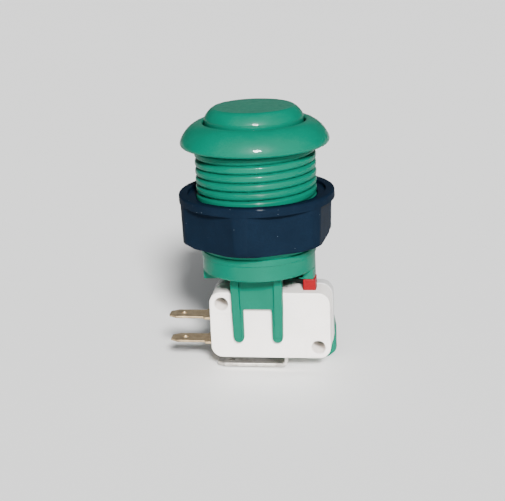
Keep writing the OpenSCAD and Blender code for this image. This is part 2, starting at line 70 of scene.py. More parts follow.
bl_info = {
    "name": "Arcade push button",
    "version": (1, 0, 0),
    "blender": (4, 5, 0),
    "location": "3D View > Sidebar > Button",
    "description": "Builds a panel button with its nut and snap-action switch, and its studio stage",
    "category": "Add Mesh",
}

MM = 0.001
CASE_LOW, CASE_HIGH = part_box("switch_case")
COVER_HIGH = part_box("switch_cover")[1]
PIN_LOW, PIN_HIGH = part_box("switch_actuator")
HOUSING_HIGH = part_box("housing")[1]
PLUNGER_LOW, PLUNGER_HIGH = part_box("plunger")
NUT_LOW, NUT_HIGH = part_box("panel_nut")
COMMON_LOW, COMMON_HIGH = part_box("common_terminal")

# The radii that most edges have, and how deep an added form is sunk into what carries it
FINE_R, EDGE_R, SOFT_R = 0.1 * MM, 0.2 * MM, 0.3 * MM
SINK = 0.5 * MM

# The actuator's flange stands out this far past the pin at each end
PIN_FLANGE = 0.8 * MM


# Sizes and colours that a user would change


def length(label, text, default_mm):
    return bpy.props.FloatProperty(
        name=label, description=text, default=default_mm * MM, unit="LENGTH", precision=5
    )


def measure(kind, what, default_mm):
    """A length that is named for what it measures, such as the width of the fork."""
    return length(f"{what}: {kind}".capitalize(), f"{kind} of the {what}".capitalize(), default_mm)


def angle(label, text, default_deg):
    default = radians(default_deg)
    return bpy.props.FloatProperty(name=label, description=text, default=default, subtype="ANGLE")


def number(label, text, default):
    return bpy.props.FloatProperty(name=label, description=text, default=default)


def colour(label, text, default):
    return bpy.props.FloatVectorProperty(
        name=label, description=text, default=default, size=3, subtype="COLOR", min=0, max=1
    )


def deeper(what, default):
    return colour(f"{what}: marks".capitalize(), f"Darker marks on the {what}", default)


class BarrelSizes(bpy.types.PropertyGroup):
    """Sizes of the bezel, the threaded barrel and its drum"""

    lip_r: measure("radius", "bezel's lip round the cap", 0.7)
    bezel_d: measure("diameter", "bezel ring", 33.5)
    edge_r: measure("radius", "bezel's lower edge", 0.7)
    dome: number("Dome fullness", "Fullness of the bezel's dome, where 2 is an ellipse", 1.55)
    bore_d: measure("diameter", "plunger's bore", 22.9)
    thread_d: measure("diameter", "thread's crests", 27.3)
    thread_pitch: measure("pitch", "barrel's thread", 1.95)
    thread_depth: measure("depth", "thread's grooves", 0.85)
    thread_start: length("Thread start", "Height at which a groove passes +X", -25.25)
    land_h: measure("height", "plain land under the bezel", 0.4)
    land_proud: length("Land", "How proud the land stands of the crests", 0.1)
    thread_end: measure("height", "thread's lower end", -23.6)
    collar_d: measure("diameter", "run-out collar", 26.4)
    collar_low: measure("height", "collar's lower edge", -25.1)
    drum_d: measure("diameter", "plain drum", 25.9)
    drum_low: measure("height", "drum's lower edge", -28.7)
    room_d: measure("inner diameter", "drum", 23.1)
    floor_top: measure("height", "spring floor's top", -19.5)
    floor_t: measure("thickness", "spring floor", 1.8)


class PlungerSizes(bpy.types.PropertyGroup):
    """Sizes of the plunger and its spring"""

    cap_d: measure("diameter", "cap", 22.2)
    flat_d: measure("diameter", "cap's flat top", 17.8)
    shoulder_h: measure("height", "cap's rounded shoulder", 2.4)
    shoulder: number("Shoulder fullness", "Fullness of the cap's shoulder, where 2 is an ellipse", 1.35)
    wall: measure("wall", "cap and its skirt", 1.5)
    skirt_l: measure("length", "skirt below the cap's top", 13)
    leg_w: measure("width", "plunger leg", 6)
    leg_t: measure("thickness", "plunger leg", 1.7)
    hook_h: measure("height", "hook at a leg's foot", 2.4)
    spring_d: measure("mean diameter", "return spring", 12.4)
    spring_wire: measure("wire", "return spring", 0.7)
    snap_d: measure("mean diameter", "snap spring", 2.1)
    snap_wire: measure("wire", "snap spring", 0.3)


class NutSizes(bpy.types.PropertyGroup):
    """Sizes of the panel nut"""

    flats: length("Across flats", "Distance across the nut's flats", 32)
    corner_d: measure("diameter", "turned corners", 35.2)
    chamfer: measure("width", "chamfer on the lower corners", 1.2)
    draft: length("Draft", "Lean of a flat from flange to foot", 0.35)
    flange_t: measure("thickness", "round flange", 2.1)
    recess_d: measure("diameter", "recess in the top", 31.2)
    recess_h: measure("depth", "recess in the top", 0.9)
    bore_d: measure("diameter", "bore over the thread", 27.44)
    turn: angle("Turn", "Turn of a corner from +X", 25)


class SwitchSizes(bpy.types.PropertyGroup):
    """Sizes of the switch, the fork and the back plate"""

    corner_r: measure("radius", "case's corners", 2.7)
    wall: measure("wall", "case and its cover", 1.2)
    cover_lip: length("Cover lip", "How proud the cover stands of the case", 0.12)
    hole_d: measure("diameter", "fixing holes", 3.1)
    hole_in: measure("inset", "fixing holes from the case's edges", 2.8)
    boss_wall: length("Hole wall", "Wall round the fixing holes", 0.7)
    tab_w: measure("width", "push-on tabs", 4.75)
    shoulder_w: measure("width", "side tab at the case", 6.3)
    shoulder_l: measure("length", "side tab's shoulder", 1.9)
    tip_l: measure("length", "bevels at a tab's tip", 1.8)
    tip_w: measure("width", "bevels at a tab's tip", 1.1)
    detent_d: measure("diameter", "detent hole in a tab", 1.3)
    detent_in: measure("distance", "detent hole from a tab's tip", 3.4)
    common_t: measure("thickness", "common terminal", 0.8)
    bend_r: measure("outer radius", "common terminal's bend", 1.6)
    riser_in: measure("distance", "common terminal's bend from the case's end", 17.5)
    blade_w: measure("width", "terminals inside the switch", 3.6)
    fork_w: measure("width", "fork", 11.8)
    fork_t: measure("thickness", "fork", 1.3)
    fork_gap: measure("width", "gap between the fork's legs", 6.6)
    fork_web: measure("drop", "fork's web below the case's top", 3.6)
    fork_tip: measure("drop", "fork's tips below the case's top", 11.7)
    fork_draft: length("Fork draft", "Lean of a leg's outer edge at its tip", 0.25)
    rib_w: measure("width", "fork's ribs", 1.9)
    rib_h: measure("height", "fork's ribs at their top", 0.9)
    rib_foot_h: measure("height", "fork's ribs at their foot", 0.25)
    grip: length("Grip gap", "Gap between the switch and its holders", 0.1)
    plate_t: measure("thickness", "back plate", 1.8)
    plate_past: measure("reach", "back plate past the case", 0.45)
    plate_below: measure("reach", "back plate below the case", 3.8)
    peg_d: measure("diameter", "pegs in the fixing holes", 3)
    peg_l: measure("reach", "pegs into the fixing holes", 2.5)


class Finishes(bpy.types.PropertyGroup):
    """Colours of the plastics and metals"""

    green: colour("Green plastic", "Moulded button plastic", (0.0012, 0.12, 0.0735))
    green_deep: deeper("green plastic", (0.0008, 0.104, 0.063))
    navy: colour("Navy plastic", "Moulded nut plastic", (0.0045, 0.0106, 0.0212))
    navy_deep: deeper("navy plastic", (0.0034, 0.0082, 0.0165))
    white: colour("White plastic", "Moulded switch plastic", (0.93, 0.88, 0.84))
    white_deep: deeper("white plastic", (0.87, 0.82, 0.765))
    # The cover's greyer tint is painted shade: it darkens the back of the switch's top and side as if they
    # lay in shade
    cover: colour("Cover plastic", "Greyer plastic of the switch's back cover", (0.6, 0.59, 0.585))
    cover_deep: deeper("cover plastic", (0.55, 0.54, 0.53))
    red: colour("Red plastic", "Moulded actuator plastic", (0.23, 0.004, 0.008))
    red_deep: deeper("red plastic", (0.19, 0.003, 0.006))
    brass: colour("Brass", "Bright brass of the side tabs", (0.5, 0.375, 0.215))
    brass_deep: deeper("brass", (0.215, 0.16, 0.095))
    tin: colour("Tinned strip", "Bright tin on the common terminal", (0.55, 0.53, 0.49))
    tin_deep: deeper("tin", (0.26, 0.24, 0.215))
    steel: colour("Spring steel", "Drawn wire of the springs", (0.45, 0.45, 0.47))
    steel_deep: deeper("spring steel", (0.2, 0.19, 0.18))
    silver: colour("Contact metal", "Polished contacts", (0.78, 0.78, 0.79))
    silver_deep: deeper("contact metal", (0.5, 0.48, 0.45))
    floor: colour("Floor", "Pale studio floor", (0.9, 0.9, 0.89))


def light_settings(name, azimuth, elevation, power, size):
    """The four settings of a light, for StageSettings."""
    label = name.capitalize()
    return {
        f"{name}_azimuth": angle(f"{label} azimuth", f"Turn of the {name} light", azimuth),
        f"{name}_elevation": angle(f"{label} elevation", f"Height of the {name} light", elevation),
        f"{name}_power": number(f"{label} power", f"The {name} light in watts a square metre", power),
        f"{name}_size": angle(f"{label} size", f"Apparent size of the {name} light", size),
    }


class StageSettings(bpy.types.PropertyGroup):
    """Camera and lights"""

    azimuth: angle("Camera azimuth", "Turn of the camera round the button", 8.55)
    elevation: angle("Camera elevation", "Height of the camera above the level", 17.17)
    roll: angle("Camera roll", "Turn of the camera about its line of sight", -2.34)
    distance: length("Camera distance", "Distance from the camera to its aim", 283.57)
    aim_x: length("Aim sideways", "The camera's aim along X", -1.49)
    aim_z: length("Aim height", "The camera's aim along Z", -25.29)
    focal: number("Focal length", "Focal length in millimetres on a 36 mm sensor", 87.86)
    room_light: number("Room light", "Strength of the even light all round", 0.18)
    __annotations__.update(light_settings("flash", azimuth=12, elevation=35, power=34, size=12))
    __annotations__.update(light_settings("soft", azimuth=17, elevation=31, power=9.6, size=10))
    __annotations__.update(light_settings("back", azimuth=188, elevation=20, power=0.08, size=40))


# Outlines and solids


def arc(u, v, radius, start, end, steps):
    """Points on an arc about (u, v), with its angles in degrees."""
    turns = [radians(start + (end - start) * i / steps) for i in range(steps + 1)]
    return [(u + radius * cos(a), v + radius * sin(a)) for a in turns]


def quarter_turn(steps):
    """The cosine and sine of each step of a quarter turn."""
    return [(cos(a), sin(a)) for a in (pi / 2 * i / steps for i in range(steps + 1))]


def shoulder(u, v, wide, high, steps, fullness):
    """Quarter of a rounded bevel from (u + wide, v) to (u, v + high)."""
    power = 2 / fullness
    return [(u + wide * abs(c) ** power, v + high * abs(s) ** power) for c, s in quarter_turn(steps)]


def filleted(corners, steps=4, closed=True):
    """A line through (u, v, radius) corners, each with its fillet."""
    points = []
    last = len(corners) - 1
    for i, (u, v, radius) in enumerate(corners):
        corner = Vector((u, v))
        if radius <= 0 or (not closed and i in (0, last)):
            points.append((u, v))
            continue
        before = Vector(corners[i - 1][:2]) - corner
        after = Vector(corners[(i + 1) % len(corners)][:2]) - corner
        half = before.angle(after) / 2
        reach = min(radius / tan(half), 0.49 * before.length, 0.49 * after.length)
        before.normalize()
        after.normalize()
        centre = corner + (before + after).normalized() * reach / cos(half)
        start, end = corner + before * reach - centre, corner + after * reach - centre
        for k in range(steps + 1):
            p = centre + start.normalized().slerp(end.normalized(), k / steps) * start.length
            points.append((p.x, p.y))
    return points


def rounded_box(u0, v0, u1, v1, radius, steps=10):
    return filleted([(u0, v0, radius), (u1, v0, radius), (u1, v1, radius), (u0, v1, radius)], steps)


def circle(u, v, radius, steps=56):
    return arc(u, v, radius, 0, 360, steps)[:-1]


def half_turned(points, side):
    """The points where side is 1, and turned half round where it is -1."""
    return [(side * u, side * v) for u, v in points]


def signed_area(loop):
    return sum(a[0] * b[1] - b[0] * a[1] for a, b in zip(loop, loop[1:] + loop[:1])) / 2


def inset(loop, distance):
    """The loop moved to its left by a distance, with mitred corners."""
    moved = []
    for i, point in enumerate(loop):
        here = Vector(point)
        along = (here - Vector(loop[i - 1])).normalized()
        onward = (Vector(loop[(i + 1) % len(loop)]) - here).normalized()
        left, left_on = Vector((-along.y, along.x)), Vector((-onward.y, onward.x))
        step = (left + left_on) / max(1 + left.dot(left_on), 0.2) * distance
        moved.append((here.x + step.x, here.y + step.y))
    return moved


PLANES = {
    "xy": lambda u, v, w: (u, v, w),
    "xz": lambda u, v, w: (u, w, v),
    "yz": lambda u, v, w: (w, u, v),
}


def add_plate(bm, outline, low, high, edge, holes=(), plane="xy", steps=3):
    """A plate between two levels of a plane's third axis, with rounded edges.

    Edge is one radius, or the lower and the upper one.
    """
    edge_low, edge_high = edge if isinstance(edge, tuple) else (edge, edge)
    place = PLANES[plane]
    loops = [outline if signed_area(outline) > 0 else outline[::-1]]
    loops += [hole if signed_area(hole) < 0 else hole[::-1] for hole in holes]
    turns = quarter_turn(steps)
    levels = [(edge_low * (1 - s), low + edge_low * (1 - c)) for c, s in turns]
    levels += [(edge_high * (1 - c), high - edge_high * (1 - s)) for c, s in turns]
    lids = ([], [])
    for loop in loops:
        flats = [inset(loop, distance) for distance, _ in levels]
        rings = []
        for flat, (_, level) in zip(flats, levels):
            rings.append([bm.verts.new(place(u, v, level)) for u, v in flat])
        for here, there in zip(rings, rings[1:]):
            add_band(bm, here, there)
        lids[0].append((flats[0], rings[0]))
        lids[1].append((flats[-1], rings[-1]))
    for lid in lids:
        verts = [v for _, ring in lid for v in ring]
        flats = [[Vector((u, v, 0)) for u, v in flat] for flat, _ in lid]
        for a, b, c in tessellate_polygon(flats):
            if len({a, b, c}) == 3:
                bm.faces.new((verts[a], verts[b], verts[c]))


def add_band(bm, here, there):
    """Faces between two closed rings of as many points."""
    for i in range(len(here)):
        k = (i + 1) % len(here)
        bm.faces.new((here[i], here[k], there[k], there[i]))


def add_spun(bm, outline_at, count):
    """A solid turned about Z.

    outline_at(angle) gives (radius, height) points: a closed loop, or a line from the axis to the axis.
    """
    on_axis = 1e-9
    poles, columns = {}, []
    for i in range(count):
        a = 2 * pi * i / count
        column = []
        for k, (radius, height) in enumerate(outline_at(a)):
            if radius < on_axis:
                if k not in poles:
                    poles[k] = bm.verts.new((0, 0, height))
                column.append(poles[k])
            else:
                column.append(bm.verts.new((radius * cos(a), radius * sin(a), height)))
        columns.append(column)
    size = len(columns[0])
    for i in range(count):
        here, there = columns[i], columns[(i + 1) % count]
        for k in range(size - 1 if poles else size):
            m = (k + 1) % size
            corners = list(dict.fromkeys((here[k], there[k], there[m], here[m])))
            if len(corners) > 2:
                bm.faces.new(corners)


def add_coil(bm, centre, radius, wire, low, high, turns, steps=40, sides=12):
    """A coil spring with its end turns closed, from low to high."""
    x0, y0 = centre
    rise = high - low - wire
    closed, lean = 1.0, 0.04

    def lift(turn):
        """The share of the rise that a turn has reached."""
        if turn < closed:
            return lean * turn
        if turn > turns - closed:
            return 1 - lean * (turns - turn)
        return lean + (1 - 2 * lean) * (turn - closed) / (turns - 2 * closed)

    rings = []
    for i in range(turns * steps + 1):
        a = 2 * pi * i / steps
        ring = []
        for k in range(sides):
            b = 2 * pi * k / sides
            r = radius + wire / 2 * cos(b)
            z = low + wire / 2 + rise * lift(i / steps) + wire / 2 * sin(b)
            ring.append(bm.verts.new((x0 + r * cos(a), y0 + r * sin(a), z)))
        rings.append(ring)
    for here, there in zip(rings, rings[1:]):
        add_band(bm, here, there)
    bm.faces.new(rings[0][::-1])
    bm.faces.new(rings[-1])


def join(bm, other):
    """Adds one solid's faces to another."""
    mesh = bpy.data.meshes.new("join")
    other.to_mesh(mesh)
    other.free()
    bm.from_mesh(mesh)
    bpy.data.meshes.remove(mesh)


def cut(bm, cutter):
    """Cuts one closed solid from another, with both at a thousand times their size for the solver's sake."""
    made = []
    for source in (bm, cutter):
        bmesh.ops.recalc_face_normals(source, faces=source.faces)
        bmesh.ops.scale(source, vec=(1 / MM,) * 3, verts=source.verts)
        mesh = bpy.data.meshes.new("cut")
        source.to_mesh(mesh)
        source.free()
        made.append(bpy.data.objects.new("cut", mesh))
        bpy.context.scene.collection.objects.link(made[-1])
    work = made[0].modifiers.new("cut", "BOOLEAN")
    work.object, work.operation, work.solver = made[1], "DIFFERENCE", "EXACT"
    work.use_self = True
    shape = made[0].evaluated_get(bpy.context.evaluated_depsgraph_get()).to_mesh()
    result = bmesh.new()
    result.from_mesh(shape)
    bmesh.ops.scale(result, vec=(MM,) * 3, verts=result.verts)
    for obj in made:
        bpy.data.objects.remove(obj)
    return result


def make_piece(name, bm, slot, body, node, sharp=40, finish=None):
    """Turns a built solid into a piece that rides on its body in place of its CAD node.

    Its finish is its slot's, unless it has one of its own.
    """
    bmesh.ops.recalc_face_normals(bm, faces=bm.faces)
    mesh = bpy.data.meshes.new(name)
    bm.to_mesh(mesh)
    bm.free()
    mesh.shade_smooth()
    mesh.set_sharp_from_angle(angle=radians(sharp))
    mesh.materials.append(finish_of(finish or slot))
    obj = bpy.data.objects.new(name, mesh)
    bpy.context.scene.collection.objects.link(obj)
    even = obj.modifiers.new("even shading", "WEIGHTED_NORMAL")
    even.keep_sharp = True
    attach(obj, body)
    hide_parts(node)
    return obj


# Finishes


class Graph:
    """A material's nodes, each made with its settings and inputs in one call."""

    LEFT, APART, DROP, ROWS = -1800, 210, -140, 4

    def __init__(self, name):
        self.material = bpy.data.materials.get(name) or bpy.data.materials.new(name)
        self.material.use_nodes = True
        self.tree = self.material.node_tree
        self.tree.nodes.clear()
        self.column = 0

    def node(self, kind, inputs=None, **settings):
        """A node with its settings, and with inputs that are values or other nodes' sockets."""
        made = self.tree.nodes.new(kind)
        self.column += 1
        made.location = (self.LEFT + self.APART * self.column, self.DROP * (self.column % self.ROWS))
        for key, value in settings.items():
            setattr(made, key, value)
        for key, value in (inputs or {}).items():
            if isinstance(value, bpy.types.NodeSocket):
                self.tree.links.new(value, made.inputs[key])
            else:
                made.inputs[key].default_value = value
        return made

    def noise(self, place, size, detail=3.0, roughness=0.5):
        """Noise with features of about a size in metres."""
        inputs = {"Vector": place, "Scale": 1 / size, "Detail": detail, "Roughness": roughness}
        return self.node("ShaderNodeTexNoise", inputs).outputs["Fac"]

    def remap(self, value, low, high, to_low, to_high):
        inputs = {"Value": value, "From Min": low, "From Max": high, "To Min": to_low, "To Max": to_high}
        return self.node("ShaderNodeMapRange", inputs).outputs["Result"]

    def blend(self, share, first, second):
        """The first colour where the share is 0, and the second where it is 1."""
        return self.node("ShaderNodeMix", {0: share, 6: first, 7: second}, data_type="RGBA").outputs[2]

    def bump(self, height, depth, strength, under=None):
        inputs = {"Height": height, "Distance": depth, "Strength": strength}
        if under is not None:
            inputs["Normal"] = under
        return self.node("ShaderNodeBump", inputs).outputs["Normal"]

    def finish(self, inputs):
        shader = self.node("ShaderNodeBsdfPrincipled", inputs)
        self.node("ShaderNodeOutputMaterial", {"Surface": shader.outputs["BSDF"]})
        return self.material


def rgba(tint):
    return (*tint, 1.0)


def moulded_plastic(name, tint, deep, roughness, gleam, coat, grain, dust=None, dust_share=0.0):
    """Moulded plastic: cloudy flow marks, a fine grain, uneven gloss and a few specks of dust."""
    cloud, mottle, fleck, rub, pore, wave = (size * MM for size in (6, 0.35, 0.9, 1.4, 0.16, 3))
    wave_depth = 0.02 * MM
    g = Graph(name)
    place = g.node("ShaderNodeTexCoord").outputs["Object"]
    flow = g.remap(g.noise(place, cloud, 4, 0.55), 0.35, 0.68, 0, 1)
    tone = g.blend(flow, rgba(tint), rgba(deep))
    mottled = g.remap(g.noise(place, mottle, 2), 0.4, 0.62, 0, 0.6)
    tone = g.blend(mottled, tone, rgba(deep))
    if dust:
        dots = g.node("ShaderNodeTexVoronoi", {"Vector": place, "Scale": 1 / fleck, "Randomness": 1.0})
        near = g.remap(dots.outputs["Distance"], 0.06, 0.1, 1, 0)
        some = g.remap(dots.outputs["Color"], 1 - dust_share, 1 - dust_share * 0.9, 0, 1)
        both = g.node("ShaderNodeMath", {0: near, 1: some}, operation="MULTIPLY").outputs[0]
        tone = g.blend(both, tone, rgba(dust))
    gloss = g.remap(g.noise(place, rub, 5, 0.6), 0.3, 0.7, roughness - 0.05, roughness + 0.07)
    surface = g.bump(g.noise(place, pore, 2), grain, 0.5)
    surface = g.bump(g.noise(place, wave, 2), wave_depth, 0.35, surface)
    look = {"Base Color": tone, "Roughness": gloss, "Specular IOR Level": gleam, "Normal": surface}
    return g.finish({**look, "Coat Weight": coat, "Coat Roughness": 0.03, "Coat IOR": 1.3})


def rolled_metal(name, tint, deep, roughness, along, tarnish):
    """Rolled or drawn metal: streaks along one axis, tarnish in patches and small pits."""
    patch, streak, pit = (size * MM for size in (1.6, 0.22, 0.35))
    streak_depth, pit_depth = 0.012 * MM, 0.03 * MM
    stretch = [0.08 if axis == along else 1 for axis in "xyz"]
    g = Graph(name)
    place = g.node("ShaderNodeTexCoord").outputs["Object"]
    drawn = g.node("ShaderNodeMapping", {"Vector": place, "Scale": stretch}).outputs["Vector"]
    patches = g.noise(place, patch, 5, 0.62)
    streaks = g.noise(drawn, streak, 3, 0.6)
    stained = g.remap(patches, 0.62 - 0.3 * tarnish, 0.72, 0, 1)
    tone = g.blend(stained, rgba(tint), rgba(deep))
    tone = g.blend(g.remap(streaks, 0.3, 0.75, 0, 0.35), tone, rgba(deep))
    gloss = g.remap(streaks, 0.25, 0.75, roughness - 0.08, roughness + 0.12)
    surface = g.bump(streaks, streak_depth, 0.6)
    pits = g.remap(g.noise(place, pit, 3, 0.7), 0.6, 0.8, 1, 0)
    surface = g.bump(pits, pit_depth, 0.4, surface)
    return g.finish({"Base Color": tone, "Roughness": gloss, "Normal": surface, "Metallic": 0.92})


GREEN_MOULDING = {"roughness": 0.42, "gleam": 0.03, "coat": 0.2, "grain": 0.006 * MM}
RED_MOULDING = {"roughness": 0.5, "gleam": 0.04, "coat": 0.1, "grain": 0.012 * MM}
NAVY_MOULDING = {
    "roughness": 0.5, "gleam": 0.0, "coat": 0.07, "grain": 0.01 * MM,
    "dust": (0.1, 0.125, 0.145), "dust_share": 0.26,
}
WHITE_MOULDING = {
    "roughness": 0.55, "gleam": 0.25, "coat": 0.0, "grain": 0.012 * MM,
    "dust": (0.55, 0.5, 0.44), "dust_share": 0.05,
}

# Each finish has its maker, its tint in the Finishes group and its maker's settings
FINISHES = {
    "green_plastic": (moulded_plastic, "green", GREEN_MOULDING),
    "nut_plastic": (moulded_plastic, "navy", NAVY_MOULDING),
    "switch_plastic": (moulded_plastic, "white", WHITE_MOULDING),
    # The cover's finish carries painted shade on the back of the switch's top and side
    "cover_plastic": (moulded_plastic, "cover", WHITE_MOULDING),
    "actuator_plastic": (moulded_plastic, "red", RED_MOULDING),
    "tab_brass": (rolled_metal, "brass", {"roughness": 0.34, "along": "x", "tarnish": 0.8}),
    "tinned_steel": (rolled_metal, "tin", {"roughness": 0.32, "along": "x", "tarnish": 0.5}),
    "spring_steel": (rolled_metal, "steel", {"roughness": 0.3, "along": "z", "tarnish": 0.3}),
    "contact_silver": (rolled_metal, "silver", {"roughness": 0.18, "along": "y", "tarnish": 0.2}),
}


def finish_of(name):
    """The material of one of the record's slots, or of the cover, made once."""
    found = bpy.data.materials.get(name)
    if found and found.get("made_here"):
        return found
    maker, tint, settings = FINISHES[name]
    tints = bpy.context.scene.button_finishes
    made = maker(name, getattr(tints, tint), getattr(tints, f"{tint}_deep"), **settings)
    made["made_here"] = True
    return made


# Pieces


class BUTTON_OT_plunger(bpy.types.Operator):
    """Builds the plunger: the domed cap with its skirt, and two legs with hooks"""

    bl_idname = "arcade_button.plunger"
    bl_label = "Plunger"

    def execute(self, context):
        s = context.scene.button_plunger
        top = PLUNGER_HIGH.z
        r, flat_r, inner = s.cap_d / 2, s.flat_d / 2, s.cap_d / 2 - s.wall
        ceiling, skirt_foot = top - s.wall, top - s.skirt_l
        inside = [
            (0, ceiling, 0), (inner, ceiling, 1 * MM), (inner, skirt_foot, EDGE_R),
            (r, skirt_foot, SOFT_R), (r, top, 0),
        ]
        crown = shoulder(flat_r, top - s.shoulder_h, r - flat_r, s.shoulder_h, 22, s.shoulder)
        rings = 12
        face = [(flat_r * (1 - i / rings), top) for i in range(1, rings + 1)]
        outline = filleted(inside, 5, closed=False)[:-1] + crown + face
        bm = bmesh.new()
        add_spun(bm, lambda a: outline, 160)
        self.legs(bm, s, context.scene.button_barrel.drum_d / 2)
        make_piece("plunger_shell", bm, "green_plastic", "plunger_body", "plunger")
        return {"FINISHED"}

    def legs(self, bm, s, drum_r):
        """Two legs, each with a hook that reaches to the drum's outside."""
        foot = PLUNGER_LOW.z
        leg_low, leg_high = foot + 0.3 * MM, PLUNGER_HIGH.z - s.shoulder_h - 0.2 * MM
        leg_out, leg_in = s.cap_d / 2 - 0.3 * MM, s.cap_d / 2 - s.leg_t
        half = s.leg_w / 2
        for side in (1, -1):
            for radius, low, high in ((leg_out, leg_low, leg_high), (drum_r, foot, foot + s.hook_h)):
                reach = degrees(asin(half / radius))
                bow = arc(0, 0, radius, -reach, reach, 12)
                block = [(leg_in, -half), *bow, (leg_in, half)]
                add_plate(bm, half_turned(block, side), low, high, 0.15 * MM)


class BUTTON_OT_barrel(bpy.types.Operator):
    """Builds the bezel, the threaded barrel, the drum and the spring floor"""

    bl_idname = "arcade_button.barrel"
    bl_label = "Bezel and barrel"

    def execute(self, context):
        s, p = context.scene.button_barrel, context.scene.button_plunger
        head, foot = self.head(s), self.foot(s)
        rows = 28
        count = int(-s.thread_end / s.thread_pitch * rows) + 1
        levels = [-i * s.thread_pitch / rows for i in range(count)]
        bm = bmesh.new()
        add_spun(bm, lambda a: head + [(self.thread_radius(s, a, z), z) for z in levels] + foot, 180)
        self.spring_floor(bm, s, p)
        make_piece("barrel_shell", bm, "green_plastic", "barrel_body", "housing", sharp=75)
        return {"FINISHED"}

    def head(self, s):
        """Section of the bore, the bezel's lip, its dome and its rim."""
        top, r, bore = HOUSING_HIGH.z, s.bezel_d / 2, s.bore_d / 2
        lip, edge = s.lip_r, s.edge_r
        inside = [(bore, s.floor_top - 0.3 * MM), (bore, s.floor_top / 2), (bore, top - 2 * lip)]
        mouth = arc(bore + lip, top - lip, lip, 180, 90, 8)
        dome = shoulder(bore + lip, edge, r - bore - lip, top - edge, 40, s.dome)[::-1]
        rim = arc(r - edge, edge, edge, 0, -90, 10)
        return inside + mouth + dome[1:] + rim[1:]

    def thread_radius(self, s, a, z):
        """A plain land, then wide crests between narrow grooves, which run out at the thread's end."""
        crest = s.thread_d / 2
        if z > -s.land_h:
            return crest + s.land_proud
        core = crest - s.thread_depth
        u = ((z - s.thread_start) / s.thread_pitch - a / (2 * pi)) % 1
        crest_power, groove_floor = 3.8, 0.06
        height = max(1 - abs(2 * u - 1) ** crest_power, groove_floor)
        run_out_r, run_out_slope = core + 0.15 * MM, 0.55
        run_out = run_out_r + max(0.0, z - s.thread_end) * run_out_slope
        return min(core + s.thread_depth * height, run_out)

    def foot(self, s):
        """Section of the run-out collar and of the drum, down to the spring floor."""
        collar_r, drum_r, room_r = s.collar_d / 2, s.drum_d / 2, s.room_d / 2
        corners = [
            (s.thread_d / 2 - s.thread_depth, s.thread_end, 0), (collar_r, s.thread_end, EDGE_R),
            (collar_r, s.collar_low, EDGE_R), (drum_r, s.collar_low, 0.08 * MM),
            (drum_r, s.drum_low, 0.25 * MM), (room_r, s.drum_low, EDGE_R),
            (room_r, s.floor_top - s.floor_t, 0),
        ]
        return filleted(corners, 4, closed=False)[1:]

    def spring_floor(self, bm, s, p):
        """The floor with a slot for each plunger leg, and the ring that centres the spring."""
        bore = s.bore_d / 2
        clear = 0.3 * MM
        leg_in, half = p.cap_d / 2 - p.leg_t - clear, p.leg_w / 2 + clear
        slot_side, slot_out = bore * 0.955, bore * 0.985
        slot = filleted([
            (leg_in, -half, EDGE_R), (slot_side, -half, EDGE_R), (slot_out, 0, 0),
            (slot_side, half, EDGE_R), (leg_in, half, EDGE_R),
        ])
        slots = [half_turned(slot, side) for side in (1, -1)]
        disc = circle(0, 0, bore + 0.05 * MM, 120)
        add_plate(bm, disc, s.floor_top - s.floor_t, s.floor_top, 0.02 * MM, slots)
        seat_out = p.spring_d / 2 - p.spring_wire / 2 - clear
        seat_in, seat_low, seat_top = seat_out - 1.2 * MM, s.floor_top - SINK, s.floor_top + 2.5 * MM
        ring = filleted([
            (seat_out, seat_low, 0), (seat_out, seat_top, 0.25 * MM), (seat_in, seat_top, 0.25 * MM),
            (seat_in, seat_low, 0),
        ])
        add_spun(bm, lambda a: ring, 72)


